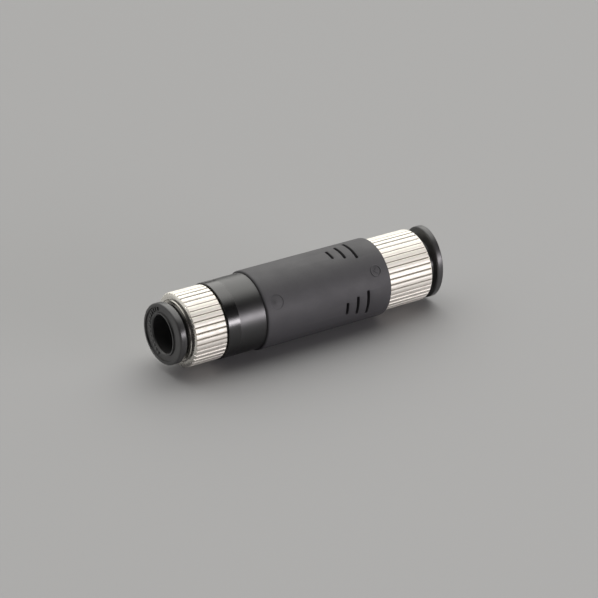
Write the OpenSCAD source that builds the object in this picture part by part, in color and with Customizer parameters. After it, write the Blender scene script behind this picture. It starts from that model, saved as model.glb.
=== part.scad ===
// In-line vacuum ejector with a push-in tube port at each end.
// Compressed air enters at the supply port (-X), leaves the nozzle as a jet and crosses into
// the diffuser. The jet draws air from the vacuum port (+X) through four passages, and the
// mixed air leaves through the silencer ring and the slots in the cover.
// Each port is laid out along z, from the face of its release ring inwards.

/* [Tube port] */
// Outer diameter of the tube that a port takes
tube_d = 6; // [5:0.5:8]
// Radial clearance of the tube in the bores that guide it
tube_clearance = 0.1; // [0.06:0.01:0.2]
// Radial clearance of the spread claws and of the seal lip over the tube
grip_clearance = 0.03; // [0.02:0.01:0.05]
// Length of the bore that the end of the tube seats in
seat_len = 2.65; // [1.6:0.05:4]
// Wall that the end of the tube stops against
stop_wall = 0.6; // [0.4:0.05:1]
// Clearance between pieces that are pressed or snapped together
fit_gap = 0.05; // [0.02:0.01:0.08]

/* [Release ring] */
// Travel of a release ring when it is pushed in
release_stroke = 0.9; // [0.6:0.05:1.2]
// Thickness of the oval flange
flange_t = 1.2; // [1:0.05:1.4]
// How far the flange stands out past the ring's tube on its long axis
flange_long = 2.15; // [1.6:0.05:2.4]
// How far the flange stands out past the ring's tube on its short axis
flange_short = 1.02; // [0.7:0.02:1.4]
// Bevel round both edges of the flange
flange_bevel = 0.16; // [0.05:0.01:0.3]
// Wall of the ring's tube
ring_wall = 0.85; // [0.6:0.05:1.1]
// Chamfer at the mouth of the ring's bore
mouth_chamfer = 0.3; // [0.1:0.05:0.5]
// Radial running clearance of the ring in the guide ring
run_clearance = 0.15; // [0.08:0.01:0.2]
// Height of the lip that keeps the ring in the guide ring
lip_h = 0.35; // [0.25:0.05:0.5]
// Length of that lip
lip_len = 0.6; // [0.4:0.05:0.8]
// Turn of the supply flange's long axis from upright
supply_flange_turn = 65; // [0:1:180]
// Turn of the vacuum flange's long axis from upright
vacuum_flange_turn = 6; // [0:1:180]
// How much farther the vacuum flange stands out of its sleeve
vacuum_flange_out = 0.3; // [0:0.05:0.4]

/* [Guide ring and claws] */
// Overall length of the guide ring
guide_len = 3.4; // [3.2:0.05:4]
// Length of the guide ring's collar, which the release ring slides in
collar_len = 1.2; // [0.8:0.05:1.3]
// Wall of the guide ring behind its collar
guide_wall = 0.55; // [0.4:0.05:0.8]
// How far the guide ring stands out of the sleeve's mouth
guide_proud = 0.1; // [0:0.02:0.15]
// Thickness of the claws' sheet
claw_t = 0.25; // [0.15:0.05:0.3]
// Number of teeth on the claws
claw_teeth = 8; // [6:1:10]
// Width of the cuts between the teeth
claw_cut_w = 0.7; // [0.4:0.05:0.9]

/* [Elastic seal] */
// Length of the seal's body behind its skirt
seal_len = 1.8; // [1.4:0.05:2.4]
// Radial step in the sleeve that the claws' rim rests on
shoulder_w = 0.4; // [0.3:0.05:0.45]
// Wall of the skirt that backs the claws
skirt_wall = 0.4; // [0.25:0.05:0.45]

/* [Knurled sleeves] */
// Wall of a sleeve at its mouth
sleeve_wall = 1; // [0.9:0.05:1.3]
// Length of the knurl on the supply sleeve
supply_knurl_len = 5.3; // [4.5:0.1:7]
// Length of the knurl on the vacuum sleeve
vacuum_knurl_len = 8.2; // [7.8:0.1:10]
// Number of grooves in the knurl
knurl_count = 40; // [24:1:60]
// Depth of a groove
knurl_depth = 0.2; // [0.1:0.02:0.3]
// Width of a groove at the surface
knurl_w = 0.32; // [0.2:0.02:0.5]
// Turn of the first groove from upright
knurl_turn = 2.7; // [0:0.1:9]
// Length of the chamfer at the mouth of a sleeve
nose_len = 0.45; // [0.3:0.05:0.8]
// Width of the flat lip round the mouth of a sleeve
nose_lip = 0.3; // [0.2:0.05:0.5]
// Depth of the step from the knurl down to the tail
tail_step = 0.8; // [0.7:0.05:0.85]
// Length of the supply sleeve's tail
supply_tail_len = 2.1; // [1.8:0.05:2.6]
// Wall of the supply sleeve's neck round the tube seat
neck_wall = 1.2; // [0.9:0.05:1.3]
// Height of the snap ridge on a tail or a spigot
ridge_h = 0.2; // [0.1:0.02:0.24]
// Length of a snap ridge
ridge_len = 0.6; // [0.4:0.05:0.7]

/* [Supply body] */
// Length of the supply body that shows
supply_body_len = 6.9; // [6:0.1:9]
// How far the supply body stands out past the sleeve
supply_body_proud = 0.2; // [0.1:0.05:0.3]
// Gap that shows between the supply sleeve's knurl and the supply body
knurl_gap = 0.25; // [0.1:0.05:0.4]
// Length of the polished band next to the supply sleeve
band_len = 2.15; // [1:0.05:3]
// How far that band is set back
band_step = 0.04; // [0.02:0.01:0.06]
// Length of the spigot that goes into the cover
spigot_len = 5.4; // [5:0.1:6]

/* [Exhaust cover] */
// Length of the cover
cover_len = 23.5; // [22:0.1:26]
// How far the cover stands out past the supply body
cover_proud = 0.3; // [0.2:0.05:0.5]
// Wall of the cover
cover_wall = 0.9; // [0.7:0.05:1]
// Length of the socket for the vacuum sleeve's tail
socket_len = 2.4; // [2.3:0.05:2.8]
// Rounding of the cover's outer edges
cover_round = 0.3; // [0.1:0.05:0.5]
// Number of slots in a group
slot_count = 3; // [2:1:3]
// Distance from slot to slot
slot_pitch = 2; // [1.7:0.05:2.2]
// Width of a slot
slot_w = 0.5; // [0.3:0.05:0.7]
// Length round the cover of the shortest slot
slot_len = 2.2; // [1.5:0.1:2.8]
// How much longer each next slot is
slot_len_step = 1.2; // [0.8:0.1:1.4]
// Distance of the longest slot from the cover's end
slot_from_end = 4.55; // [4.4:0.05:5]
// Turn of the four slot groups about the axis
slot_turn = -9.5; // [-45:0.5:45]
// Diameter of the round gate dimple
dimple_d = 2.4; // [1.5:0.1:3]
// Depth of the dimple
dimple_depth = 0.1; // [0.05:0.01:0.2]
// Distance of the dimple from the cover's supply end
dimple_from_end = 2.1; // [1.8:0.1:4]
// Turn of the dimple about the axis
dimple_turn = 30; // [15:1:60]

/* [Nozzle and diffuser] */
// Outer diameter of the nozzle
nozzle_d = 5.2; // [4.8:0.1:5.6]
// Diameter of the nozzle's throat
throat_d = 0.5; // [0.3:0.05:0.8]
// Length of the nozzle that its seat holds
nozzle_seat_len = 3.2; // [2.9:0.05:3.4]
// Distance from the nozzle's tip to the diffuser
nozzle_gap = 0.65; // [0.4:0.05:1]
// Outer diameter of the diffuser
diffuser_d = 4.4; // [4:0.1:4.6]
// Length of the diffuser
diffuser_len = 8.1; // [7.5:0.1:8.5]
// Diameter of the diffuser's throat
mixing_d = 1.1; // [0.8:0.05:1.4]
// Diameter of the diffuser's outlet
outlet_d = 1.9; // [1.5:0.1:2.4]

/* [Inner body] */
// Clearance of the inner body and the spigot in the cover
core_clearance = 0.1; // [0.05:0.01:0.15]
// Depth of the suction chamber in the inner body
chamber_depth = 1.45; // [1.2:0.05:1.8]
// Diameter of a vacuum passage
passage_d = 1.3; // [1:0.05:1.4]
// Wall between the diffuser's bore and a vacuum passage
passage_web = 0.4; // [0.3:0.05:0.45]
// Width of an exhaust window
window_w = 2.2; // [1.6:0.1:2.4]
// Wall between a vacuum passage and the silencer ring's seat
silencer_web = 0.45; // [0.35:0.05:0.5]
// How far the silencer ring runs past the slots on each side
silencer_margin = 0.3; // [0.2:0.05:0.35]

/* [Hidden] */

round_fn = 96;                  // facets round a turned piece
oval_fn = 72;                   // facets round an oval flange
cut = 0.5;                      // how far a cutter runs past what it cuts
stop_gap = 0.25;                // what is left under a flange that is pushed right in
nose_gap = 0.05;                // what is left before the claws at the end of the travel
edge = 0.12;                    // broken edge of a turned or moulded piece

// Radii of a port, from the tube outwards
tube_r = tube_d / 2;
bore_r = tube_r + tube_clearance;
grip_r = tube_r + grip_clearance;
ring_r = bore_r + ring_wall;
ring_lip_r = ring_r + lip_h;
collar_r = ring_r + run_clearance;
undercut_r = ring_lip_r + run_clearance;
guide_r = undercut_r + guide_wall - fit_gap;
mouth_r = guide_r + fit_gap;
seal_bore_r = mouth_r - shoulder_w;
seal_r = seal_bore_r - fit_gap;
sleeve_r = mouth_r + sleeve_wall;
tail_r = sleeve_r - tail_step;
socket_r = tail_r + fit_gap;
neck_r = bore_r + neck_wall;
flow_r = bore_r - 0.9;
nose_r = bore_r + 0.3;
tooth_root_r = ring_lip_r + fit_gap;

// Places in a port, from the face of the release ring inwards
guide_z = flange_t + release_stroke + stop_gap;
mouth_z = guide_z + guide_proud;
knurl_z = mouth_z + nose_len;
collar_end = guide_z + collar_len;
guide_end = guide_z + guide_len;
shoulder_z = guide_end + claw_t;
tooth_len = tooth_root_r - grip_r;
tooth_back = claw_t * sqrt(2);
seal_z = guide_end + tooth_len + tooth_back + 0.08;
seal_end = seal_z + seal_len;
seat_z = seal_end + fit_gap;
tube_stop = seat_z + seat_len;
nose_end = guide_end + tooth_root_r - nose_r - release_stroke - nose_gap;
supply_knurl_end = knurl_z + supply_knurl_len;
supply_tail_end = supply_knurl_end + supply_tail_len;
neck_end = tube_stop + stop_wall;
vacuum_knurl_end = knurl_z + vacuum_knurl_len;
vacuum_tail_end = vacuum_knurl_end + socket_len;

// Radii of the bodies, from the sleeve outwards
supply_body_r = sleeve_r + supply_body_proud;
cover_r = supply_body_r + cover_proud;
cover_bore_r = cover_r - cover_wall;
core_r = cover_bore_r - core_clearance;

// Places along the ejector, from the face of the supply release ring
supply_body_z = supply_knurl_end + knurl_gap;
cover_z = supply_body_z + supply_body_len;
cover_end = cover_z + cover_len;
total_len = cover_end + fit_gap + vacuum_knurl_end + vacuum_flange_out;
half_len = total_len / 2;
spigot_end = cover_z + spigot_len;
socket_z = cover_end - socket_len;
core_z = spigot_end + fit_gap;
core_end = socket_z - fit_gap;
diffuser_z = core_z + chamber_depth;
diffuser_end = diffuser_z + diffuser_len;
nozzle_z = cover_z + fit_gap;
nozzle_end = diffuser_z - nozzle_gap;
last_slot = cover_end - slot_from_end;
silencer_z = last_slot - (slot_count - 1) * slot_pitch - slot_w / 2 - silencer_margin;
silencer_end = last_slot + slot_w / 2 + silencer_margin;
window_z = diffuser_end + 0.3;
window_end = silencer_end - 0.5;

// O-rings: the round section fills its groove, less a small gap
sleeve_o_ring_t = socket_r - neck_r;
tail_o_ring_t = 0.7;
core_o_ring_t = 0.75;
small_o_ring_t = 0.6;
o_ring_gap = 0.02;
groove_extra = 0.15;
sleeve_o_ring_z = supply_tail_end + fit_gap + sleeve_o_ring_t / 2;
tail_groove_z = vacuum_knurl_end + 1.1;
front_groove_z = diffuser_z + 1.5;
rear_groove_z = core_end - 0.3 - core_o_ring_t - groove_extra;
nozzle_groove_z = nozzle_z + 1.1;
diffuser_groove_z = diffuser_z + 2.1;

// Radii of the inner body
nozzle_r = nozzle_d / 2;
diffuser_r = diffuser_d / 2;
diffuser_bore_r = diffuser_r + fit_gap;
diffuser_flange_r = diffuser_r + 0.4;
diffuser_flange_t = 0.8;
passage_r = passage_d / 2;
passage_circle_r = diffuser_bore_r + passage_web + passage_r;
chamber_r = passage_circle_r + passage_r + 0.1;
silencer_seat_r = passage_circle_r + passage_r + silencer_web;

// Colours
nickel = [0.86, 0.85, 0.82];
steel = [0.70, 0.71, 0.72];
brass = [0.78, 0.64, 0.36];
gloss_black = [0.08, 0.08, 0.09];
ring_black = [0.16, 0.16, 0.17];
cover_grey = [0.25, 0.25, 0.27];
resin_grey = [0.45, 0.46, 0.48];
rubber = [0.05, 0.05, 0.05];
felt = [0.80, 0.80, 0.76];

// A quarter round from angle a0 to a1 about (r, z)
function quarter(r, z, radius, a0, a1) =
    [for (i = [0 : 6]) let (a = a0 + (a1 - a0) * i / 6) [r + radius * cos(a), z + radius * sin(a)]];

// A snap ridge or its groove on radius r, from z, standing out by h
function ridge(r, z, h, len) =
    [[r, z], [r + h, z + h], [r + h, z + len - h], [r, z + len]];

// A profile of [radius, z] points, turned about z
module turned(profile) {
    rotate_extrude($fn = round_fn) polygon(profile);
}

// An O-ring of section t about radius r, centred on z
module o_ring(r, z, t) {
    color(rubber) translate([0, 0, z]) rotate_extrude($fn = round_fn)
        translate([r, 0]) circle(d = t - 2 * o_ring_gap, $fn = 32);
}

// Lays what is drawn along z out from the supply end, towards +X
module from_supply_end() {
    translate([-half_len, 0, 0]) rotate([0, 90, 0]) children();
}

// Lays what is drawn along z out from the vacuum end, towards -X
module from_vacuum_end() {
    translate([half_len - vacuum_flange_out, 0, 0]) rotate([0, -90, 0]) children();
}

// The oval of a flange, set in by inset
module oval(inset) {
    scale([ring_r + flange_long - inset, ring_r + flange_short - inset]) circle(1, $fn = oval_fn);
}

// A release ring, with its flange out by so much past where the port's lengths start
module release_ring(turn, out) {
    color(ring_black) difference() {
        union() {
            translate([0, 0, -out]) rotate(turn) hull() {
                linear_extrude(flange_t) oval(flange_bevel);
                translate([0, 0, flange_bevel])
                    linear_extrude(flange_t - 2 * flange_bevel) oval(0);
            }
            turned(concat(
                [[bore_r - 0.4, flange_t / 2 - out], [ring_r, flange_t / 2 - out]],
                [
                    [ring_r, collar_end + fit_gap],
                    [ring_lip_r, collar_end + fit_gap],
                    [ring_lip_r, collar_end + fit_gap + lip_len - lip_h / 2],
                    [ring_r, collar_end + fit_gap + lip_len + lip_h / 2]
                ],
                [
                    [ring_r, nose_end - ring_r + nose_r],
                    [nose_r, nose_end],
                    [bore_r - 0.4, nose_end]
                ]
            ));
        }
        translate([0, 0, -out - cut])
            cylinder(r = bore_r, h = out + nose_end + 2 * cut, $fn = round_fn);
        translate([0, 0, -out - cut]) cylinder(
            r1 = bore_r + mouth_chamfer + cut, r2 = bore_r, h = mouth_chamfer + cut, $fn = round_fn
        );
        translate([0, 0, nose_end - edge]) cylinder(
            r1 = bore_r, r2 = bore_r + edge + cut, h = edge + cut, $fn = round_fn
        );
    }
}

module release_ring_supply() {
    from_supply_end() release_ring(supply_flange_turn, 0);
}

module release_ring_vacuum() {
    from_vacuum_end() release_ring(vacuum_flange_turn, vacuum_flange_out);
}

module guide_ring() {
    color(nickel) turned([
        [collar_r + edge, guide_z], [guide_r - edge, guide_z], [guide_r, guide_z + edge],
        [guide_r, guide_end], [undercut_r, guide_end],
        [undercut_r, collar_end], [collar_r, collar_end],
        [collar_r, guide_z + edge]
    ]);
}

module lock_claws() {
    color(steel) difference() {
        turned([
            [guide_r, guide_end], [guide_r, shoulder_z],
            [tooth_root_r + tooth_back - claw_t, shoulder_z],
            [grip_r, guide_end + tooth_len + tooth_back],
            [grip_r, guide_end + tooth_len],
            [tooth_root_r, guide_end]
        ]);
        for (i = [0 : claw_teeth - 1]) rotate(i * 360 / claw_teeth)
            translate([0, -claw_cut_w / 2, guide_end - cut])
                cube([tooth_root_r - 0.1, claw_cut_w, tooth_len + tooth_back + 2 * cut]);
    }
}

module elastic_seal() {
    skirt_r = seal_r - skirt_wall;
    skirt_z = shoulder_z + seal_r - skirt_r + 0.1;
    lip_z = seal_z + seal_len / 3;
    lip_end = seal_end - seal_len / 3;
    lip_back = 0.25;
    color(rubber) turned([
        [skirt_r, skirt_z], [seal_r, skirt_z], [seal_r, seal_end],
        [grip_r + lip_back, seal_end], [grip_r, lip_end], [grip_r, lip_z],
        [grip_r + lip_back, seal_z], [skirt_r, seal_z]
    ]);
}

// The V-grooves of a knurl, from outside the mouth to the end of the knurl
module knurl_grooves(knurl_end, turn) {
    linear_extrude(knurl_end + fit_gap) for (i = [0 : knurl_count - 1])
        rotate(turn + i * 360 / knurl_count) polygon([
            [sleeve_r - knurl_depth, 0], [sleeve_r + knurl_depth, -knurl_w],
            [sleeve_r + knurl_depth, knurl_w]
        ]);
}

// The outside of a sleeve from its mouth to the end of its knurl
function sleeve_front(knurl_end) = [
    [mouth_r, mouth_z], [mouth_r + nose_lip, mouth_z], [sleeve_r, knurl_z],
    [sleeve_r, knurl_end - edge], [sleeve_r - edge, knurl_end], [tail_r, knurl_end]
];

// The inside of a sleeve from the tube stop back out to its mouth
function port_bores() = [
    [flow_r, tube_stop], [bore_r, tube_stop], [bore_r, seat_z], [seal_bore_r, seat_z],
    [seal_bore_r, shoulder_z], [mouth_r, shoulder_z]
];

module sleeve_supply() {
    from_supply_end() color(nickel) difference() {
        turned(concat(
            sleeve_front(supply_knurl_end),
            ridge(tail_r, supply_knurl_end + 0.6, ridge_h, ridge_len),
            [
                [tail_r, supply_tail_end - edge], [tail_r - edge, supply_tail_end],
                [neck_r, supply_tail_end], [neck_r, neck_end], [flow_r, neck_end]
            ],
            port_bores()
        ));
        knurl_grooves(supply_knurl_end, knurl_turn);
    }
}

module sleeve_vacuum() {
    from_vacuum_end() color(nickel) difference() {
        turned(concat(
            sleeve_front(vacuum_knurl_end),
            ridge(tail_r, vacuum_knurl_end + 0.3, ridge_h, ridge_len),
            [
                [tail_r, tail_groove_z], [socket_r - tail_o_ring_t, tail_groove_z],
                [socket_r - tail_o_ring_t, tail_groove_z + tail_o_ring_t + groove_extra],
                [tail_r, tail_groove_z + tail_o_ring_t + groove_extra],
                [tail_r, vacuum_tail_end], [chamber_r, vacuum_tail_end],
                [flow_r, neck_end]
            ],
            port_bores()
        ));
        knurl_grooves(vacuum_knurl_end, -knurl_turn);
    }
}

module sleeve_o_ring_supply() {
    from_supply_end() o_ring(neck_r + sleeve_o_ring_t / 2, sleeve_o_ring_z, sleeve_o_ring_t);
}

module sleeve_o_ring_vacuum() {
    from_vacuum_end() o_ring(
        socket_r - tail_o_ring_t / 2, tail_groove_z + (tail_o_ring_t + groove_extra) / 2,
        tail_o_ring_t
    );
}

module supply_body() {
    band_r = supply_body_r - band_step;
    band_end = supply_body_z + band_len;
    corner_z = sleeve_o_ring_z + sleeve_o_ring_t / 2 + fit_gap;
    neck_bore_r = neck_r + fit_gap;
    flow_z = neck_end + fit_gap;
    nozzle_bore_r = nozzle_r + fit_gap;
    chamber_z = nozzle_z + nozzle_seat_len;
    from_supply_end() color(gloss_black) turned(concat(
        [
            [socket_r + edge, supply_body_z], [band_r - edge, supply_body_z],
            [band_r, supply_body_z + edge], [band_r, band_end],
            [supply_body_r, band_end + band_step],
            [supply_body_r, cover_z - fit_gap - edge], [supply_body_r - edge, cover_z - fit_gap],
            [core_r, cover_z - fit_gap]
        ],
        ridge(core_r, cover_z + 1, ridge_h, ridge_len),
        [
            [core_r, spigot_end - edge], [core_r - edge, spigot_end], [chamber_r, spigot_end],
            [chamber_r, chamber_z], [nozzle_bore_r, chamber_z],
            [nozzle_bore_r, nozzle_z], [flow_r, nozzle_z],
            [flow_r, flow_z], [neck_bore_r, flow_z],
            [neck_bore_r, corner_z], [socket_r, corner_z]
        ],
        [for (i = [3 : -1 : 0])
            ridge(socket_r, supply_knurl_end + 0.6, ridge_h, ridge_len)[i]],
        [[socket_r, supply_body_z + edge]]
    ));
}

module nozzle() {
    inlet_r = nozzle_r - 1.1;
    groove_r = nozzle_r + fit_gap - small_o_ring_t;
    groove_end = nozzle_groove_z + small_o_ring_t + groove_extra;
    taper_z = nozzle_z + nozzle_seat_len;
    tip_r = throat_d / 2 + 0.6;
    from_supply_end() color(brass) turned([
        [inlet_r, nozzle_z], [nozzle_r - edge, nozzle_z], [nozzle_r, nozzle_z + edge],
        [nozzle_r, nozzle_groove_z], [groove_r, nozzle_groove_z],
        [groove_r, groove_end], [nozzle_r, groove_end],
        [nozzle_r, taper_z], [tip_r, nozzle_end],
        [throat_d / 2 + 0.05, nozzle_end], [throat_d / 2, nozzle_end - 0.5],
        [throat_d / 2, nozzle_end - 1], [inlet_r, nozzle_groove_z + 1.6]
    ]);
}

module nozzle_o_ring() {
    from_supply_end() o_ring(
        nozzle_r + fit_gap - small_o_ring_t / 2,
        nozzle_groove_z + (small_o_ring_t + groove_extra) / 2, small_o_ring_t
    );
}

module diffuser() {
    groove_r = diffuser_bore_r - small_o_ring_t;
    groove_end = diffuser_groove_z + small_o_ring_t + groove_extra;
    shoulder = diffuser_z + diffuser_flange_t;
    from_supply_end() color(brass) turned([
        [diffuser_flange_r - 1, diffuser_z], [diffuser_flange_r, diffuser_z],
        [diffuser_flange_r, shoulder], [diffuser_r, shoulder],
        [diffuser_r, diffuser_groove_z], [groove_r, diffuser_groove_z],
        [groove_r, groove_end], [diffuser_r, groove_end],
        [diffuser_r, diffuser_end - edge], [diffuser_r - edge, diffuser_end],
        [outlet_d / 2, diffuser_end], [mixing_d / 2, diffuser_end - diffuser_len * 0.4],
        [mixing_d / 2, diffuser_z + 1.8]
    ]);
}

module diffuser_o_ring() {
    from_supply_end() o_ring(
        diffuser_bore_r - small_o_ring_t / 2,
        diffuser_groove_z + (small_o_ring_t + groove_extra) / 2, small_o_ring_t
    );
}

module inner_body() {
    cone_h = 1.2;
    groove_r = cover_bore_r - core_o_ring_t;
    groove_w = core_o_ring_t + groove_extra;
    flange_seat_r = diffuser_flange_r + fit_gap;
    flange_seat_end = diffuser_z + diffuser_flange_t + fit_gap;
    from_supply_end() color(resin_grey) difference() {
        turned([
            [chamber_r, core_z], [core_r, core_z],
            [core_r, front_groove_z], [groove_r, front_groove_z],
            [groove_r, front_groove_z + groove_w], [core_r, front_groove_z + groove_w],
            [core_r, silencer_z], [silencer_seat_r, silencer_z],
            [silencer_seat_r, silencer_end], [core_r, silencer_end],
            [core_r, rear_groove_z], [groove_r, rear_groove_z],
            [groove_r, rear_groove_z + groove_w], [core_r, rear_groove_z + groove_w],
            [core_r, core_end], [0, core_end],
            [0, window_end - cone_h], [diffuser_bore_r, window_end],
            [diffuser_bore_r, flange_seat_end], [flange_seat_r, flange_seat_end],
            [flange_seat_r, diffuser_z], [chamber_r, diffuser_z]
        ]);
        for (i = [0 : 3]) rotate(90 * i - slot_turn) {
            translate([0, -window_w / 2, window_z])
                cube([core_r, window_w, window_end - window_z]);
            rotate(45) translate([passage_circle_r, 0, diffuser_z - cut])
                cylinder(d = passage_d, h = core_end - diffuser_z + 2 * cut, $fn = 32);
        }
    }
}

module core_o_ring(groove_z) {
    from_supply_end() o_ring(
        cover_bore_r - core_o_ring_t / 2, groove_z + (core_o_ring_t + groove_extra) / 2,
        core_o_ring_t
    );
}

module core_o_ring_front() {
    core_o_ring(front_groove_z);
}

module core_o_ring_rear() {
    core_o_ring(rear_groove_z);
}

module silencer_ring() {
    from_supply_end() color(felt) turned([
        [silencer_seat_r + fit_gap, silencer_z + fit_gap], [core_r, silencer_z + fit_gap],
        [core_r, silencer_end - fit_gap], [silencer_seat_r + fit_gap, silencer_end - fit_gap]
    ]);
}

// One slot round the cover, of arc length len, centred on -x
module slot(z, len) {
    half_angle = len / cover_r * 90 / PI;
    reach = cover_r + cut;
    translate([0, 0, z - slot_w / 2]) linear_extrude(slot_w) polygon([
        [0, 0],
        for (i = [0 : 4]) let (a = 180 - half_angle + half_angle * i / 2)
            [reach * cos(a), reach * sin(a)]
    ]);
}

module exhaust_cover() {
    bevel = cover_round / 2;
    from_supply_end() color(cover_grey) difference() {
        turned(concat(
            [[cover_bore_r, cover_z], [cover_r - bevel, cover_z], [cover_r, cover_z + bevel]],
            quarter(cover_r - cover_round, cover_end - cover_round, cover_round, 0, 90),
            [for (i = [0 : 3])
                ridge(socket_r, cover_end - 0.3 + fit_gap - ridge_len, ridge_h, ridge_len)[3 - i]],
            [[socket_r, socket_z], [cover_bore_r, socket_z]],
            [for (i = [3 : -1 : 0]) ridge(cover_bore_r, cover_z + 1, ridge_h, ridge_len)[i]]
        ));
        difference() {
            for (i = [0 : 3], j = [0 : slot_count - 1])
                rotate(90 * i - slot_turn) slot(
                    last_slot - (slot_count - 1 - j) * slot_pitch,
                    slot_len + j * slot_len_step
                );
            cylinder(r = cover_bore_r - cut / 2, h = total_len, $fn = round_fn);
        }
        rotate(-90 - dimple_turn) translate([cover_r - dimple_depth, 0, cover_z + dimple_from_end])
            rotate([0, 90, 0]) cylinder(d = dimple_d, h = 1, $fn = 48);
    }
}

release_ring_supply();
from_supply_end() guide_ring();  // guide_ring_supply
from_supply_end() lock_claws();  // lock_claws_supply
from_supply_end() elastic_seal();  // elastic_seal_supply
sleeve_supply();
sleeve_o_ring_supply();
supply_body();
nozzle();
nozzle_o_ring();
diffuser();
diffuser_o_ring();
inner_body();
core_o_ring_front();
core_o_ring_rear();
silencer_ring();
exhaust_cover();
sleeve_o_ring_vacuum();
sleeve_vacuum();
from_vacuum_end() elastic_seal();  // elastic_seal_vacuum
from_vacuum_end() lock_claws();  // lock_claws_vacuum
from_vacuum_end() guide_ring();  // guide_ring_vacuum
release_ring_vacuum();
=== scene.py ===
import math

import bmesh
import bpy
from mathutils import Matrix, Vector


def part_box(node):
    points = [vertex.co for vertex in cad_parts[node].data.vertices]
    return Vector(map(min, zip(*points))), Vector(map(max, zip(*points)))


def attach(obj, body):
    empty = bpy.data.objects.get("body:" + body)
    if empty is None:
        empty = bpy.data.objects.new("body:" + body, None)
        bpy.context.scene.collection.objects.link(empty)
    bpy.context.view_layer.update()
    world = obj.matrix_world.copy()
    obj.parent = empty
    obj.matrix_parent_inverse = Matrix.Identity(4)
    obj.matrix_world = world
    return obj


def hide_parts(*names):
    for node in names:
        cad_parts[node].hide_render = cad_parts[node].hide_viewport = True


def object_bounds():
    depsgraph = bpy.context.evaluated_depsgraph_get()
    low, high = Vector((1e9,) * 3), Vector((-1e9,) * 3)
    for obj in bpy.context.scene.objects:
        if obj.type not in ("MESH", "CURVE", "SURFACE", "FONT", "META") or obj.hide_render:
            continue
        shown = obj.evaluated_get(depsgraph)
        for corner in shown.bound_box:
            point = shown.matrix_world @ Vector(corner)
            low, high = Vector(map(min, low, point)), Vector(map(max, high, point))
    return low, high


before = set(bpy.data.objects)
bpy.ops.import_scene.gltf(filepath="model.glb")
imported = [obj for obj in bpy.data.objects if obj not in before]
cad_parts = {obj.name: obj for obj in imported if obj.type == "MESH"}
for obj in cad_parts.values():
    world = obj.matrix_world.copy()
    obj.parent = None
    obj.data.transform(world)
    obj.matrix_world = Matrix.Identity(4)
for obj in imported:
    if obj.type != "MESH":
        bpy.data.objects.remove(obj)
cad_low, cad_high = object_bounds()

MM = 0.001

# ---- Nozzle and diffuser ----
# Two turned brass pieces in the middle of the ejector: the nozzle makes the air jet and the
# diffuser catches it. Both are pushed into their seats in the moulded bodies, on an O-ring.


def finish_named(name, color, roughness, metallic=0.0, specular=0.5):
    """A new Principled material, with its plain values set on the shader's own sockets."""
    material = bpy.data.materials.new(name)
    material.use_nodes = True
    shader = material.node_tree.nodes["Principled BSDF"]
    shader.inputs["Base Color"].default_value = (*color, 1.0)
    shader.inputs["Roughness"].default_value = roughness
    shader.inputs["Metallic"].default_value = metallic
    shader.inputs["Specular IOR Level"].default_value = specular
    return material


def shader_of(material):
    return material.node_tree.nodes["Principled BSDF"]


def add_node(material, kind, values=None, **settings):
    """A node of that kind, with the values of its input sockets and its own settings."""
    made = material.node_tree.nodes.new(kind)
    for key, value in settings.items():
        setattr(made, key, value)
    for key, value in (values or {}).items():
        made.inputs[key].default_value = value
    return made


def join(material, source, target):
    material.node_tree.links.new(source, target)


def place_on_piece(material):
    """The point on the piece, in metres."""
    return add_node(material, "ShaderNodeTexCoord").outputs["Object"]


def noise_on(material, size, detail=2.0, stretch=(1.0, 1.0, 1.0)):
    """Noise whose blotches are about size across, drawn out by stretch along each axis."""
    mapping = add_node(
        material, "ShaderNodeMapping", {"Scale": [1.0 / (size * s) for s in stretch]}
    )
    join(material, place_on_piece(material), mapping.inputs["Vector"])
    noise = add_node(material, "ShaderNodeTexNoise", {"Scale": 1.0, "Detail": detail})
    join(material, mapping.outputs["Vector"], noise.inputs["Vector"])
    return noise.outputs["Fac"]


def spread(material, source, low, high, from_low=0.3, from_high=0.7):
    """Source, spread from low to high."""
    made = add_node(material, "ShaderNodeMapRange", {
        "From Min": from_low, "From Max": from_high, "To Min": low, "To Max": high,
    })
    join(material, source, made.inputs["Value"])
    return made.outputs["Result"]


def blend_colors(material, source, first, second):
    """The first color where source is 0 and the second where it is 1."""
    made = add_node(material, "ShaderNodeMix", data_type="RGBA")
    made.inputs["A"].default_value = (*first, 1.0)
    made.inputs["B"].default_value = (*second, 1.0)
    join(material, source, made.inputs["Factor"])
    return made.outputs["Result"]


def raise_surface(material, height, distance, strength=1.0):
    """Bumps of that height, stacked on any that the material has."""
    bump = add_node(material, "ShaderNodeBump", {"Strength": strength, "Distance": distance})
    join(material, height, bump.inputs["Height"])
    normal = shader_of(material).inputs["Normal"]
    if normal.is_linked:
        join(material, normal.links[0].from_socket, bump.inputs["Normal"])
    join(material, bump.outputs["Normal"], normal)


def turned_marks(material, pitch, depth):
    """The fine rings that a lathe tool leaves round the axis."""
    rings = noise_on(material, pitch, detail=1.0, stretch=(1.0, 400.0, 400.0))
    raise_surface(material, rings, depth)


def dress(material, *nodes):
    """Gives CAD nodes that material."""
    for name in nodes:
        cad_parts[name].material_slots[0].material = material


turned_brass = finish_named("turned_brass", (0.72, 0.52, 0.24), 0.3, metallic=1.0)
join(
    turned_brass,
    spread(turned_brass, noise_on(turned_brass, 1.2 * MM), 0.22, 0.38),
    shader_of(turned_brass).inputs["Roughness"],
)
turned_marks(turned_brass, 0.06 * MM, 0.004 * MM)
dress(turned_brass, "nozzle", "diffuser")

# ---- Rubber rings ----
# Moulded nitrile rubber: the O-rings lie in turned grooves, and each port's elastic seal is
# pushed into the sleeve, with its lips on the tube.

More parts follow.
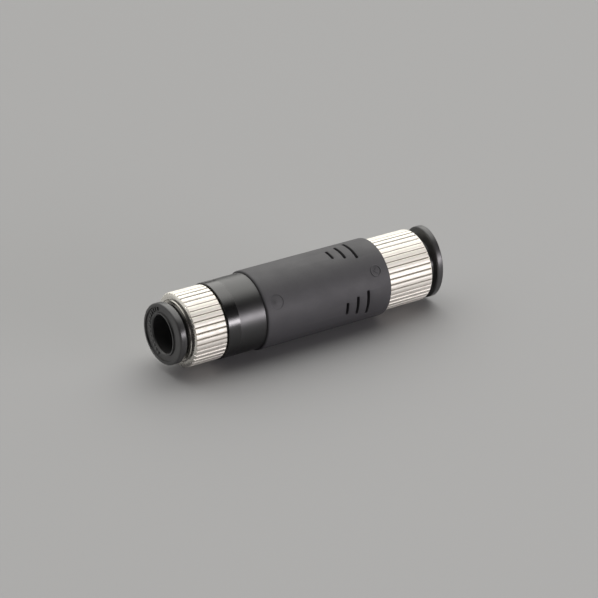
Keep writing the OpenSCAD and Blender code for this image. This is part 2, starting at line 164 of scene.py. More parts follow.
nitrile = finish_named("nitrile_rubber", (0.022, 0.022, 0.023), 0.55, specular=0.4)
join(
    nitrile,
    spread(nitrile, noise_on(nitrile, 0.7 * MM), 0.48, 0.64),
    shader_of(nitrile).inputs["Roughness"],
)
raise_surface(nitrile, noise_on(nitrile, 0.12 * MM), 0.006 * MM)
dress(
    nitrile, "nozzle_o_ring", "diffuser_o_ring", "core_o_ring_front", "core_o_ring_rear",
    "sleeve_o_ring_supply", "sleeve_o_ring_vacuum", "elastic_seal_supply", "elastic_seal_vacuum",
)

# ---- Inner body ----
# One moulding of glass-filled PBT that holds the diffuser, with four vacuum passages round it
# and four windows to the silencer. The cover slides over it and traps it.

inner_resin = finish_named("inner_resin", (0.07, 0.07, 0.074), 0.5)
join(
    inner_resin,
    blend_colors(
        inner_resin, noise_on(inner_resin, 1.5 * MM), (0.062, 0.062, 0.066), (0.08, 0.08, 0.084)
    ),
    shader_of(inner_resin).inputs["Base Color"],
)
raise_surface(inner_resin, noise_on(inner_resin, 0.15 * MM), 0.006 * MM)
dress(inner_resin, "inner_body")

# ---- Silencer ring ----
# A ring of dark porous felt that the exhaust air passes on its way to the slots. It is
# slipped over the inner body before the cover goes on.

felt = finish_named("silencer_felt", (0.055, 0.055, 0.057), 0.95, specular=0.2)
join(
    felt,
    blend_colors(
        felt, noise_on(felt, 0.12 * MM, detail=4.0), (0.008, 0.008, 0.008), (0.035, 0.035, 0.036)
    ),
    shader_of(felt).inputs["Base Color"],
)
raise_surface(felt, noise_on(felt, 0.1 * MM, detail=4.0, stretch=(1.0, 2.5, 1.0)), 0.08 * MM)
dress(felt, "silencer_ring")

# ---- Exhaust cover ----
# A tube moulded in charcoal PBT with a fine spark-eroded texture. Four groups of three slots
# let the exhaust air out, and a round dimple holds the trimmed gate.

cover_low, cover_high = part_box("exhaust_cover")
cover_r = cover_high.z
cover_wall = 0.9 * MM
cover_steps = 144
cover_round = 0.3 * MM
cover_bevel = 0.27 * MM
slot_width = 0.5 * MM
slot_pitch = 2.0 * MM
slot_from_end = 4.55 * MM
slot_half_angles = [10.0, 15.0, 20.0]
slot_groups = [-9.5, 80.5, 170.5, 260.5]
slot_corner = 0.17 * MM
slot_rim = 0.05 * MM
dimple_x = cover_low.x + 2.1 * MM
dimple_angle = 30.0
dimple_r = 1.2 * MM
dimple_depth = 0.07 * MM
patch_steps = 5


def new_piece(bm, name, material, body, sharp=35.0):
    """Makes the finished mesh an object of the scene, smooth but for its sharp edges."""
    mesh = bpy.data.meshes.new(name)
    bm.to_mesh(mesh)
    bm.free()
    mesh.polygons.foreach_set("use_smooth", [True] * len(mesh.polygons))
    mesh.set_sharp_from_angle(angle=math.radians(sharp))
    mesh.materials.append(material)
    piece = bpy.data.objects.new(name, mesh)
    bpy.context.scene.collection.objects.link(piece)
    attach(piece, body)
    return piece


def turned(profile, steps, start_angle=0.0):
    """A closed profile of (x, radius, rounding) corners, rounded and turned about the axis.
    Angles go from the front, -Y, up towards +Z."""
    bm = bmesh.new()
    front = math.radians(start_angle)
    corners = [
        bm.verts.new((x, -r * math.cos(front), r * math.sin(front))) for x, r, rounding in profile
    ]
    for here, after in zip(corners, corners[1:] + corners[:1]):
        bm.edges.new((here, after))
    for rounding in sorted({point[2] for point in profile} - {0.0}):
        bmesh.ops.bevel(
            bm, geom=[v for v, point in zip(corners, profile) if point[2] == rounding],
            offset=rounding, offset_type="OFFSET", segments=3, profile=0.5, material=-1,
            affect="VERTICES", clamp_overlap=True,
        )
    bmesh.ops.spin(
        bm, geom=bm.verts[:] + bm.edges[:], axis=(-1, 0, 0), cent=(0, 0, 0),
        angle=2 * math.pi, steps=steps, use_merge=True,
    )
    bmesh.ops.remove_doubles(bm, verts=bm.verts, dist=1e-7)
    bmesh.ops.recalc_face_normals(bm, faces=bm.faces)
    return bm


def angle_of(point):
    """Angle about the axis in degrees, from the front, -Y, up towards +Z."""
    return math.degrees(math.atan2(point.z, -point.y))


def edge_of(faces):
    """The edges round a set of faces."""
    return {e for face in faces for e in face.edges if sum(f in faces for f in e.link_faces) == 1}


def turn_between(first, second):
    """How far it is from one angle to another, in degrees, the short way."""
    return abs((first - second + 180.0) % 360.0 - 180.0)


cover_bore_r = cover_r - cover_wall
last_slot = cover_high.x - slot_from_end
slot_places = [last_slot - (2 - i) * slot_pitch for i in range(3)]
slot_edges = [x + side * slot_width / 2 for x in slot_places for side in (-1, 1)]
cover_turn = 360.0 / cover_steps
patch_step = 2 * math.pi * cover_r / cover_steps
patch_edges = [dimple_x + i * patch_step for i in range(-patch_steps, patch_steps + 1)]
stations = sorted(patch_edges + slot_edges)
bm = turned(
    [(cover_low.x, cover_bore_r, 0.0), (cover_low.x, cover_r, cover_bevel)]
    + [(x, cover_r, 0.0) for x in stations]
    + [(cover_high.x, cover_r, cover_round), (cover_high.x, cover_bore_r, 0.0)]
    + [(x, cover_bore_r, 0.0) for x in reversed(stations)],
    cover_steps, slot_groups[0],
)
for group in slot_groups:
    for x, half_angle in zip(slot_places, slot_half_angles):
        window = [
            face for face in bm.faces
            if abs(face.calc_center_median().x - x) < slot_width / 2
            and turn_between(angle_of(face.calc_center_median()), group) < half_angle
        ]
        border = edge_of(window)
        bmesh.ops.delete(bm, geom=window, context="FACES_KEEP_BOUNDARY")
        walls = bmesh.ops.bridge_loops(bm, edges=list(border))["faces"]
        corners = [
            e for face in walls for e in face.edges
            if abs(e.verts[0].co.x - e.verts[1].co.x) < 0.01 * MM and not e.is_boundary
            and e.calc_length() > cover_wall / 2 and e.calc_face_angle(0.0) > 1.0
        ]
        bmesh.ops.bevel(
            bm, geom=list(set(corners)), offset=slot_corner, offset_type="OFFSET", segments=3,
            profile=0.5, material=-1, affect="EDGES", clamp_overlap=True,
        )
rims = [
    e for e in bm.edges
    if not e.is_boundary and e.calc_face_angle(0.0) > math.radians(60)
    and all(Vector((0, v.co.y, v.co.z)).length > cover_r - 0.01 * MM for v in e.verts)
    and any(abs(e.verts[0].co.x - x) < slot_width * 0.6 for x in slot_places)
]
bmesh.ops.bevel(
    bm, geom=rims, offset=slot_rim, offset_type="OFFSET", segments=2, profile=0.5,
    material=-1, affect="EDGES", clamp_overlap=True,
)


def wrapped_loop(bm, count, radius, x, angle, surface_r, sink):
    """A loop of points on a turned surface, round a spot on it and sunk by sink. Returns its
    edges."""
    spot = Matrix.Rotation(-math.radians(angle) - math.pi / 2, 4, "X")
    ring = bmesh.ops.create_circle(bm, cap_ends=False, segments=count, radius=radius)["verts"]
    for vert in ring:
        across = vert.co.y
        height = math.sqrt(surface_r ** 2 - across ** 2) - sink
        vert.co = Matrix.Translation((x, 0, 0)) @ spot @ Vector((vert.co.x, across, -height))
    return list({e for vert in ring for e in vert.link_edges})


patch_angle = round((dimple_angle - slot_groups[0]) / cover_turn) * cover_turn + slot_groups[0]
patch = [
    face for face in bm.faces
    if abs(face.calc_center_median().x - dimple_x) < patch_steps * patch_step
    and turn_between(angle_of(face.calc_center_median()), patch_angle) < patch_steps * cover_turn
    and Vector((0, *face.calc_center_median().yz)).length > cover_r - cover_wall / 2
]
border = list(edge_of(patch))
bmesh.ops.delete(bm, geom=patch, context="FACES_KEEP_BOUNDARY")
for radius, sink in [
    (dimple_r, 0.0), (dimple_r - 0.05 * MM, dimple_depth), (0.4 * MM, dimple_depth),
    (0.32 * MM, 0.02 * MM),
]:
    loop = wrapped_loop(bm, len(border), radius, dimple_x, dimple_angle, cover_r, sink)
    bmesh.ops.bridge_loops(bm, edges=border + loop)
    border = loop
bmesh.ops.contextual_create(bm, geom=border)
bmesh.ops.recalc_face_normals(bm, faces=bm.faces)

cover_resin = finish_named("cover_resin", (0.045, 0.044, 0.048), 0.6, specular=0.82)
join(
    cover_resin,
    blend_colors(
        cover_resin, noise_on(cover_resin, 0.5 * MM, detail=3.0),
        (0.045, 0.0435, 0.0485), (0.055, 0.0535, 0.0585),
    ),
    shader_of(cover_resin).inputs["Base Color"],
)
join(
    cover_resin,
    spread(cover_resin, noise_on(cover_resin, 2.5 * MM), 0.6, 0.68),
    shader_of(cover_resin).inputs["Roughness"],
)
raise_surface(cover_resin, noise_on(cover_resin, 0.09 * MM, detail=3.0), 0.012 * MM)
cover = new_piece(bm, "exhaust_cover_moulding", cover_resin, "housing")
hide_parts("exhaust_cover")

# ---- Port mark ----
# A ring with an arrowhead, moulded a little proud of the cover by the vacuum port. The
# arrowhead points the way that the air goes.

mark_x = cover_high.x - 2.45 * MM
mark_angle = 35.0
mark_r = 1.0 * MM
mark_line = 0.2 * MM
mark_height = 0.1 * MM
mark_root = 0.1 * MM

bm = bmesh.new()
section = [
    (mark_r, mark_root), (mark_r, -mark_height * 0.6), (mark_r - mark_line * 0.2, -mark_height),
    (mark_r - mark_line * 0.8, -mark_height), (mark_r - mark_line, -mark_height * 0.6),
    (mark_r - mark_line, mark_root),
]
loops = [wrapped_loop(bm, 48, r, mark_x, mark_angle, cover_r, sink) for r, sink in section]
for here, after in zip(loops, loops[1:] + loops[:1]):
    bmesh.ops.bridge_loops(bm, edges=here + after)
arm = 0.45 * MM
outline = [
    (-arm, 0.0), (arm * 0.3, arm), (arm * 0.3 + mark_line * 1.3, arm), (-arm + mark_line * 1.3, 0.0),
    (arm * 0.3 + mark_line * 1.3, -arm), (arm * 0.3, -arm),
]
spot = Matrix.Rotation(-math.radians(mark_angle) - math.pi / 2, 4, "X")
flat = [
    bm.verts.new(
        Vector((mark_x, 0, 0))
        + spot @ Vector((x, y, -math.sqrt(cover_r ** 2 - y ** 2) + mark_root))
    )
    for x, y in outline
]
arrow = [
    bm.faces.new((flat[0], flat[1], flat[2], flat[3])),
    bm.faces.new((flat[3], flat[4], flat[5], flat[0])),
]
risen = bmesh.ops.extrude_face_region(bm, geom=arrow)["geom"]
outward = spot @ Vector((0, 0, -(mark_root + mark_height)))
bmesh.ops.translate(bm, verts=[v for v in risen if isinstance(v, bmesh.types.BMVert)], vec=outward)
bmesh.ops.recalc_face_normals(bm, faces=bm.faces)
new_piece(bm, "vacuum_port_mark", cover_resin, "housing")

# ---- Supply body ----
# A turned-looking PBT moulding with a polished skin. The metal sleeve snaps into its near end
# and its spigot snaps into the cover. A band by the sleeve is polished brighter.

body_low, body_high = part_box("supply_body")
body_r = body_high.z
band_length = 2.15 * MM
spigot_r = cover_bore_r - 0.1 * MM
body_shoulder = cover_low.x - 0.05 * MM
socket_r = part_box("sleeve_o_ring_supply")[1].z + 0.02 * MM
socket_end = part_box("sleeve_o_ring_supply")[1].x + 0.07 * MM
neck_bore_r = 4.35 * MM
band_end = body_low.x + band_length
# A line of points just inside each rounded end keeps the shading of the long wall flat
edge_support = 0.15 * MM
bm = turned(
    [
        (body_low.x, socket_r, 0.1 * MM), (body_low.x, body_r, 0.1 * MM),
        (body_low.x + edge_support, body_r, 0.0), (body_shoulder - edge_support, body_r, 0.0),
        (body_shoulder, body_r, 0.1 * MM), (body_shoulder, spigot_r, 0.0),
        (body_high.x, spigot_r, 0.1 * MM), (body_high.x, neck_bore_r, 0.0),
        (socket_end, neck_bore_r, 0.0), (socket_end, socket_r, 0.0),
    ],
    256,
)
gloss_resin = finish_named("gloss_resin", (0.005, 0.005, 0.0052), 0.3, specular=1.0)
along = add_node(gloss_resin, "ShaderNodeSeparateXYZ")
join(gloss_resin, place_on_piece(gloss_resin), along.inputs["Vector"])
past_band = spread(
    gloss_resin, along.outputs["X"], 0.0, 1.0, band_end - 0.01 * MM, band_end + 0.03 * MM
)
soft_gloss = spread(gloss_resin, noise_on(gloss_resin, 1.6 * MM), 0.33, 0.37)
band_gloss = spread(gloss_resin, noise_on(gloss_resin, 1.1 * MM), 0.18, 0.22)
gloss = add_node(gloss_resin, "ShaderNodeMix", data_type="FLOAT")
join(gloss_resin, past_band, gloss.inputs["Factor"])
join(gloss_resin, band_gloss, gloss.inputs["A"])
join(gloss_resin, soft_gloss, gloss.inputs["B"])
join(gloss_resin, gloss.outputs["Result"], shader_of(gloss_resin).inputs["Roughness"])
raise_surface(gloss_resin, noise_on(gloss_resin, 2.2 * MM, detail=1.0), 0.004 * MM)
raise_surface(gloss_resin, noise_on(gloss_resin, 0.12 * MM), 0.0006 * MM)
body = new_piece(bm, "supply_body_moulding", gloss_resin, "housing")
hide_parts("supply_body")

# ---- Knurled sleeves ----
# Two brass sleeves, turned, knurled with forty straight grooves and nickel-plated bright. Each
# holds its port's guide ring, claws and seal, and snaps into the moulded body behind it.

groove_count = 40
groove_turn = -2.7
groove_depth = 0.2 * MM
knurl_lengths = {"supply": 5.3 * MM, "vacuum": 8.2 * MM}
nose_length = 0.45 * MM
nose_lip = 0.3 * MM
nose_support = 0.06 * MM
tail_r = 5.2 * MM
snap_bead = 0.2 * MM
supply_tail_bore_r = 4.3 * MM
o_ring_groove_r = 4.55 * MM
chamber_r = 4.05 * MM
flow_r = 2.2 * MM
seat_r = 3.1 * MM
seat_length = 2.65 * MM
# Across one groove, from its middle to the middle of the land: distance and depth
groove_section = [
    (0.0, groove_depth), (0.04 * MM, groove_depth * 0.8), (0.12 * MM, groove_depth * 0.3),
    (0.19 * MM, groove_depth * 0.07), (0.32 * MM, 0.0),
]

sleeve_nickel = finish_named("sleeve_nickel", (0.70, 0.67, 0.61), 0.36, metallic=1.0)
knurl_roughness = spread(sleeve_nickel, noise_on(sleeve_nickel, 0.9 * MM, detail=3.0), 0.54, 0.64)
nose_roughness = spread(sleeve_nickel, noise_on(sleeve_nickel, 0.9 * MM), 0.24, 0.32)
on_nose = add_node(sleeve_nickel, "ShaderNodeAttribute", attribute_name="nose")
nickel_roughness = add_node(sleeve_nickel, "ShaderNodeMix", data_type="FLOAT")
join(sleeve_nickel, on_nose.outputs["Fac"], nickel_roughness.inputs["Factor"])
join(sleeve_nickel, knurl_roughness, nickel_roughness.inputs["A"])
join(sleeve_nickel, nose_roughness, nickel_roughness.inputs["B"])
join(sleeve_nickel, nickel_roughness.outputs["Result"], shader_of(sleeve_nickel).inputs["Roughness"])
plating = blend_colors(
    sleeve_nickel, noise_on(sleeve_nickel, 2.0 * MM), (0.91, 0.88, 0.81), (0.95, 0.925, 0.86)
)
# Painted shade: the bottoms of the grooves are painted darker, towards a dull grey, by how deep they
# sink, standing in for the shade the grooves cast on themselves
groove_sunk_for_shade = add_node(sleeve_nickel, "ShaderNodeAttribute", attribute_name="sunk")
painted_groove_shade = spread(sleeve_nickel, groove_sunk_for_shade.outputs["Fac"], 0.0, 1.0, 0.15, 0.85)
plating_with_groove_shade = blend_colors(sleeve_nickel, painted_groove_shade, (0.0, 0.0, 0.0), (0.36, 0.335, 0.29))
join(sleeve_nickel, plating, plating_with_groove_shade.node.inputs["A"])
join(sleeve_nickel, plating_with_groove_shade, shader_of(sleeve_nickel).inputs["Base Color"])
turned_marks(sleeve_nickel, 0.08 * MM, 0.0003 * MM)
raise_surface(sleeve_nickel, noise_on(sleeve_nickel, 0.6 * MM), 0.0008 * MM)


def way_in(side):
    """The face of that side's release ring, and the way into the port along X."""
    return (cad_low.x, 1) if side == "supply" else (cad_high.x, -1)


def depths(node, side):
    """How deep in its port a node starts and ends."""
    face, inward = way_in(side)
    return sorted(inward * (corner.x - face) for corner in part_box(node))


def press_knurl(bm, sleeve_r, nose_x, inward):
    """Slides each line of points to its place across a groove, and presses the groove in."""
    pitch = 360.0 / groove_count
    steps = 2 * len(groove_section)
    # How deep each point is pressed in; the nickel uses this to paint shade in the grooves
    sunk = bm.verts.layers.float.new("sunk")
    nose = bm.verts.layers.float.new("nose")
    for vert in bm.verts:
        radius = math.hypot(vert.co.y, vert.co.z)
        places = (angle_of(vert.co) - groove_turn) / pitch
        groove = math.floor(places + 0.5)
        step = round((places - groove) * steps)
        if abs(step) < len(groove_section):
            across, depth = groove_section[abs(step)]
        else:
            across, depth = sleeve_r * math.radians(pitch / 2), 0.0
        angle = math.radians(groove * pitch + groove_turn) + math.copysign(across / sleeve_r, step)
        pressed = min(radius, sleeve_r - depth)
        vert[sunk] = (radius - pressed) / groove_depth
        vert[nose] = 1.0 if inward * (vert.co.x - nose_x) < 0.0 else 0.0
        vert.co.y, vert.co.z = -pressed * math.cos(angle), pressed * math.sin(angle)


for side, knurl_length in knurl_lengths.items():
    face, inward = way_in(side)
    start, end = depths("sleeve_" + side, side)
    sleeve_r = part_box("sleeve_" + side)[1].z
    guide_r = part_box("guide_ring_" + side)[1].y
    mouth_r = guide_r + 0.05 * MM
    seal_bore_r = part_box("elastic_seal_" + side)[1].z + 0.05 * MM
    shoulder = depths("guide_ring_" + side, side)[1] + 0.25 * MM
    seal_seat = depths("elastic_seal_" + side, side)[1] + 0.05 * MM
    tube_stop = seal_seat + seat_length
    knurl_end = start + nose_length + knurl_length
    drop = sleeve_r - mouth_r - nose_lip
    nose = [
        (start + nose_length * (1 - math.cos(a)) ** 0.8, sleeve_r - drop * (1 - math.sin(a)), 0.0)
        for a in [math.pi / 2 * i / 9 for i in range(1, 10)]
    ]
    if side == "supply":
        tail = [
            (knurl_end + 0.6 * MM, tail_r, 0.0), (knurl_end + 0.8 * MM, tail_r + snap_bead, 0.0),
            (knurl_end + 1.0 * MM, tail_r + snap_bead, 0.0), (knurl_end + 1.2 * MM, tail_r, 0.0),
            (knurl_end + 2.1 * MM, tail_r, 0.1 * MM), (knurl_end + 2.1 * MM, supply_tail_bore_r, 0.0),
            (end, supply_tail_bore_r, 0.0), (end, flow_r, 0.0),
        ]
    else:
        tail = [
            (knurl_end + 0.3 * MM, tail_r, 0.0), (knurl_end + 0.5 * MM, tail_r + snap_bead, 0.0),
            (knurl_end + 0.7 * MM, tail_r + snap_bead, 0.0), (knurl_end + 0.9 * MM, tail_r, 0.0),
            (knurl_end + 1.1 * MM, tail_r, 0.0), (knurl_end + 1.1 * MM, o_ring_groove_r, 0.0),
            (knurl_end + 1.95 * MM, o_ring_groove_r, 0.0), (knurl_end + 1.95 * MM, tail_r, 0.0),
            (end, tail_r, 0.1 * MM), (end, chamber_r, 0.0), (tube_stop + 0.6 * MM, flow_r, 0.0),
        ]
    profile = (
        [(start, mouth_r, 0.0), (start, mouth_r + nose_lip, 0.05 * MM)] + nose
        + [(start + nose_length + nose_support, sleeve_r, 0.0)]
        + [(knurl_end - edge_support, sleeve_r, 0.0)]
        + [(knurl_end, sleeve_r, 0.1 * MM), (knurl_end, tail_r, 0.0)] + tail
        + [
            (tube_stop, flow_r, 0.0), (tube_stop, seat_r, 0.0), (seal_seat, seat_r, 0.0),
            (seal_seat, seal_bore_r, 0.0), (shoulder, seal_bore_r, 0.0), (shoulder, mouth_r, 0.0),
        ]
    )
    bm = turned(
        [(face + inward * depth, r, rounding) for depth, r, rounding in profile],
        groove_count * 2 * len(groove_section), groove_turn,
    )
    press_knurl(bm, sleeve_r, face + inward * (start + nose_length * 0.7), inward)
    bmesh.ops.recalc_face_normals(bm, faces=bm.faces)
    sleeve = new_piece(
        bm, "knurled_sleeve_" + side, sleeve_nickel, "housing", sharp=28.0
    )
    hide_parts("sleeve_" + side)

# ---- Guide rings and claws ----
# A plated brass ring is pressed into each sleeve's mouth and guides the release ring. Behind it
# sits a pressed ring of stainless spring steel, cut into teeth that grip the tube.

guide_nickel = finish_named("guide_nickel", (0.78, 0.75, 0.69), 0.2, metallic=1.0)
join(
    guide_nickel,
    spread(guide_nickel, noise_on(guide_nickel, 0.8 * MM), 0.16, 0.28),
    shader_of(guide_nickel).inputs["Roughness"],
)
turned_marks(guide_nickel, 0.06 * MM, 0.0003 * MM)
dress(guide_nickel, "guide_ring_supply", "guide_ring_vacuum")

claw_steel = finish_named("claw_steel", (0.60, 0.60, 0.60), 0.3, metallic=1.0)
join(
    claw_steel,
    spread(claw_steel, noise_on(claw_steel, 0.5 * MM, stretch=(1.0, 4.0, 1.0)), 0.22, 0.42),
    shader_of(claw_steel).inputs["Roughness"],
)
raise_surface(claw_steel, noise_on(claw_steel, 0.05 * MM, stretch=(1.0, 8.0, 1.0)), 0.002 * MM)
dress(claw_steel, "lock_claws_supply", "lock_claws_vacuum")

# ---- Release rings ----
# Black acetal rings with an oval flange, one at each port. Pushed in, their noses spread the
# claws and let go of the tube. The flange's face has a bead round the bore and a sunk track.

flange_t = 1.2 * MM
flange_round = 0.24 * MM
flange_turns = {"supply": 155.0, "vacuum": 84.0}
flange_semi_axes = (6.1 * MM, 4.97 * MM)
ring_bore_r = 3.1 * MM
ring_tube_r = 3.95 * MM
ring_lip_r = 4.3 * MM
ring_steps = 144
mouth_chamfer = 0.2 * MM
bead_width = 0.2 * MM
border_width = 0.3 * MM
track_depth = 0.2 * MM
mark_count = 14
mark_spacing = 10.5
mark_size = (0.6 * MM, 0.34 * MM)
mark_round = 0.05 * MM

ring_acetal = finish_named("ring_acetal", (0.02, 0.02, 0.021), 0.32, specular=0.8)
join(
    ring_acetal,
    spread(ring_acetal, noise_on(ring_acetal, 1.1 * MM), 0.28, 0.36),
    shader_of(ring_acetal).inputs["Roughness"],
)
join(
    ring_acetal,
    blend_colors(
        ring_acetal, noise_on(ring_acetal, 0.8 * MM), (0.034, 0.0335, 0.034), (0.044, 0.0435, 0.044)
    ),
    shader_of(ring_acetal).inputs["Base Color"],
)
raise_surface(ring_acetal, noise_on(ring_acetal, 0.1 * MM), 0.002 * MM)


def drawn_out(bm, sections, steps):
    """Draws a loop of edges through sections of (x, half length on Y, half height on Z) and
    closes the last on the first."""
    first = sections[0]
    turn = Matrix.Rotation(math.pi / 2, 4, "Y")
    loop = bmesh.ops.create_circle(bm, cap_ends=False, segments=steps, radius=1.0, matrix=turn)
    verts = loop["verts"]
    edges = list({e for v in verts for e in v.link_edges})
    for v in verts:
        v.co = (first[0], v.co.y * first[1], v.co.z * first[2])
    opening = edges
    for before, section in zip(sections, sections[1:]):
        grown = bmesh.ops.extrude_edge_only(bm, edges=edges)["geom"]
        verts = [v for v in grown if isinstance(v, bmesh.types.BMVert)]
        edges = [e for e in grown if isinstance(e, bmesh.types.BMEdge)]
        bmesh.ops.scale(
            bm, verts=verts, vec=(1.0, section[1] / before[1], section[2] / before[2])
        )
        bmesh.ops.translate(bm, verts=verts, vec=(section[0] - before[0], 0, 0))
    bmesh.ops.bridge_loops(bm, edges=opening + edges)


def quarter_arc(radius, count):
    """Steps along a quarter round of that radius, as (in from the corner, back from the face)."""
    return [
        (radius * (1 - math.sin(a)), radius * (1 - math.cos(a)))
        for a in [math.pi / 2 * i / count for i in range(count + 1)]
    ]


for side, flange_turn in flange_turns.items():
    face, inward = way_in(side)
    guide_start = depths("guide_ring_" + side, side)[0]
    nose_end = depths("release_ring_" + side, side)[1]
    long_half, short_half = flange_semi_axes
    lip_start = guide_start + 1.25 * MM
    sections = [(mouth_chamfer, ring_bore_r, ring_bore_r)]
    sections += [(0.05 * MM, ring_bore_r + 0.15 * MM, ring_bore_r + 0.15 * MM)]
    inner = ring_bore_r + mouth_chamfer
    sections += [(depth, r, r) for depth, r in [
        (0.0, inner), (0.0, inner + bead_width), (track_depth, inner + bead_width + 0.05 * MM),
    ]]
    sections += [
        (depth, long_half - inset, short_half - inset) for depth, inset in [
            (track_depth, flange_round + border_width + 0.05 * MM),
            (0.0, flange_round + border_width),
        ]
    ]
    sections += [
        (back, long_half - inset, short_half - inset) for inset, back in quarter_arc(flange_round, 4)
    ]
    sections += [
        (flange_t - back, long_half - inset, short_half - inset)
        for inset, back in reversed(quarter_arc(flange_round, 4))
    ]
    sections += [(depth, r, r) for depth, r in [
        (flange_t, ring_tube_r + 0.1 * MM), (flange_t + 0.03 * MM, ring_tube_r + 0.03 * MM),
        (flange_t + 0.1 * MM, ring_tube_r), (lip_start, ring_tube_r), (lip_start, ring_lip_r),
        (lip_start + 0.43 * MM, ring_lip_r), (lip_start + 0.78 * MM, ring_tube_r),
        (nose_end - 0.55 * MM, ring_tube_r), (nose_end, ring_bore_r + 0.3 * MM),
        (nose_end, ring_bore_r + 0.12 * MM), (nose_end - 0.12 * MM, ring_bore_r),
    ]]
    bm = bmesh.new()
    drawn_out(bm, [(face + inward * depth, y, z) for depth, y, z in sections], ring_steps)
    bmesh.ops.rotate(
        bm, verts=bm.verts, cent=(0, 0, 0),
        matrix=Matrix.Rotation(math.radians(flange_turn), 3, "X"),
    )
    for i in range(mark_count):
        angle = math.radians(180.0 + (i - (mark_count - 1) / 2) * mark_spacing)
        bar = bmesh.ops.create_cube(bm, size=1.0)["verts"]
        bmesh.ops.scale(bm, verts=bar, vec=(track_depth * 1.2, *mark_size))
        bmesh.ops.translate(
            bm, verts=bar,
            vec=(face + inward * track_depth * 0.75, -ring_bore_r - 0.95 * MM, 0),
        )
        bmesh.ops.rotate(
            bm, verts=bar, cent=(0, 0, 0), matrix=Matrix.Rotation(-angle, 3, "X")
        )
        bmesh.ops.bevel(
            bm, geom=list({e for v in bar for e in v.link_edges}), offset=mark_round,
            offset_type="OFFSET", segments=2, profile=0.5, material=-1, affect="EDGES",
            clamp_overlap=True,
        )
    bmesh.ops.recalc_face_normals(bm, faces=bm.faces)
    ring = new_piece(
        bm, "oval_release_ring_" + side, ring_acetal, side + "_release",
        sharp=30.0,
    )
    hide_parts("release_ring_" + side)

# ---- Floor ----
# A plain grey card with a matt face that the ejector lies on, at the lowest point of its
# body. It is wide enough that its edge is out of sight. Its own colour sets how pale it is.

floor_color = (0.385, 0.385, 0.39)
floor_size = 3.0

bm = bmesh.new()
bmesh.ops.create_grid(bm, x_segments=1, y_segments=1, size=floor_size)
bmesh.ops.translate(bm, verts=bm.verts, vec=(0, 0, cad_low.z))
floor_mesh = bpy.data.meshes.new("floor")
bm.to_mesh(floor_mesh)
bm.free()
floor = bpy.data.objects.new("floor", floor_mesh)
bpy.context.scene.collection.objects.link(floor)
floor_mesh.materials.append(finish_named("floor_card", floor_color, 0.75, specular=0.5))

# ---- Light ----
# A large soft box above and behind on the right, two nested narrow ones low in front on
# the right, a pale card on the left behind the supply port, and a dim even surround.
# Together they light a flat card on the floor to about the colour that is written for it.

front_color = (1.0, 0.95, 0.99)


def soft_box(name, azimuth, elevation, distance, width, height, level):
    """A soft box that looks at the ejector. Level is how bright its face is, 1 being white.
    Azimuth 0 is in front, on -Y, and 90 is on +X."""
    lamp = bpy.data.lights.new(name, "AREA")
    lamp.shape = "RECTANGLE"
    lamp.size, lamp.size_y = width, height
    lamp.energy = level * math.pi * width * height
    lamp.color = front_color
    lamp_object = bpy.data.objects.new(name, lamp)
    a, e = math.radians(azimuth), math.radians(elevation)
    towards = Vector((math.sin(a) * math.cos(e), -math.cos(a) * math.cos(e), math.sin(e)))
    lamp_object.location = towards * distance
    lamp_object.rotation_mode = "QUATERNION"
    lamp_object.rotation_quaternion = towards.to_track_quat("Z", "Y")
    bpy.context.scene.collection.objects.link(lamp_object)


front_azimuth = 29.0
front_elevation = 7.0
soft_box("front_soft_box", front_azimuth, front_elevation, 0.6, 0.5, 0.2, 3.0)
soft_box("front_core", front_azimuth, front_elevation, 0.58, 0.4, 0.09, 8.0)

# The large box is in the surround itself, with soft edges, and it ends above the horizon. A pale
# card stands to the left, behind the supply port
box_centre = Vector((0.32, 0.51, 0.8)).normalized()
box_level = 2.1
card_centre = Vector((-0.74, 0.5, 0.36)).normalized()
card_level = 0.6
surround_level = 0.03
world = bpy.data.worlds.new("studio")
world.use_nodes = True
tree = world.node_tree
direction = tree.nodes.new("ShaderNodeTexCoord")
upward = tree.nodes.new("ShaderNodeSeparateXYZ")
tree.links.new(direction.outputs["Generated"], upward.inputs["Vector"])


def soft_edge(source, dark, light, level=1.0):
    """0 where source is dark and level where it is light, with a soft edge between."""
    edge = tree.nodes.new("ShaderNodeMapRange")
    edge.interpolation_type = "SMOOTHSTEP"
    edge.inputs["From Min"].default_value = dark
    edge.inputs["From Max"].default_value = light
    edge.inputs["To Max"].default_value = level
    tree.links.new(source, edge.inputs["Value"])
    return edge.outputs["Result"]


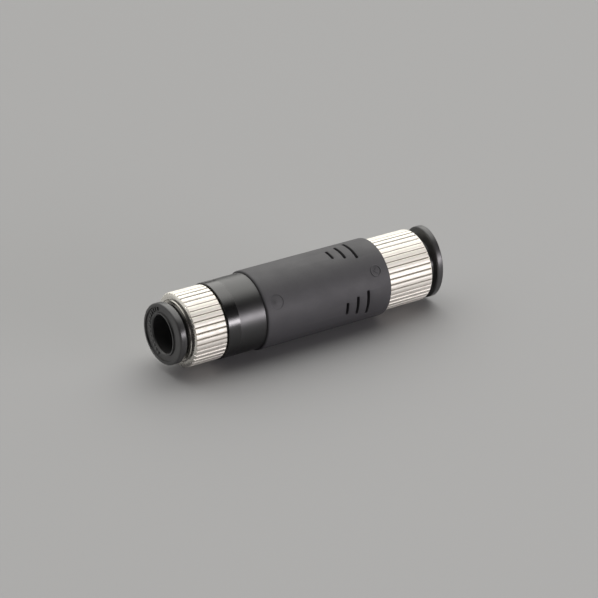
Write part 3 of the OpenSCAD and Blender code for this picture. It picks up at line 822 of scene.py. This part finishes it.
def soft_patch(centre, outer, inner, level):
    """A round patch of the surround, that bright inside and 0 outside, in degrees from its centre."""
    nearness = tree.nodes.new("ShaderNodeVectorMath")
    nearness.operation = "DOT_PRODUCT"
    nearness.inputs[1].default_value = centre
    tree.links.new(direction.outputs["Generated"], nearness.inputs[0])
    outer_dot, inner_dot = math.cos(math.radians(outer)), math.cos(math.radians(inner))
    return soft_edge(nearness.outputs["Value"], outer_dot, inner_dot, level)


def combine(operation, first, second):
    """The product or the sum of two levels."""
    made = tree.nodes.new("ShaderNodeMath")
    made.operation = operation
    tree.links.new(first, made.inputs[0])
    tree.links.new(second, made.inputs[1])
    return made.outputs["Value"]


box = combine(
    "MULTIPLY", soft_patch(box_centre, 61, 20, box_level - surround_level),
    soft_edge(upward.outputs["Z"], 0.06, 0.3),
)
patches = combine("ADD", box, soft_patch(card_centre, 50, 25, card_level))
whole = tree.nodes.new("ShaderNodeMath")
whole.inputs[1].default_value = surround_level
tree.links.new(patches, whole.inputs[0])
tree.links.new(whole.outputs["Value"], tree.nodes["Background"].inputs["Strength"])
tree.nodes["Background"].inputs["Color"].default_value = (1.0, 0.99, 0.955, 1.0)
bpy.context.scene.world = world

# ---- Camera ----
# A long lens from the front left, looking down on the ejector along its length, so that the
# supply port is near and the vacuum port far.

view_azimuth = -32.96
view_elevation = 25.72
view_distance = 340.5 * MM
lens = 127.65
target_right = -1.58 * MM
target_up = -0.92 * MM
target_x = 1.95 * MM

a, e = math.radians(view_azimuth), math.radians(view_elevation)
back = Vector((math.sin(a) * math.cos(e), -math.cos(a) * math.cos(e), math.sin(e)))
right = Vector((math.cos(a), math.sin(a), 0.0))
up = back.cross(right)
camera = bpy.data.objects.new("camera", bpy.data.cameras.new("camera"))
camera.data.sensor_width = 36.0
camera.data.lens = lens
camera.data.clip_start = 0.01
camera.data.clip_end = 20.0
target = Vector((target_x, 0, 0)) + target_right * right + target_up * up
camera.location = target + view_distance * back
camera.rotation_mode = "QUATERNION"
camera.rotation_quaternion = (-back).to_track_quat("-Z", "Y")
bpy.context.scene.collection.objects.link(camera)
bpy.context.scene.camera = camera
bpy.context.scene.view_settings.view_transform = "Standard"
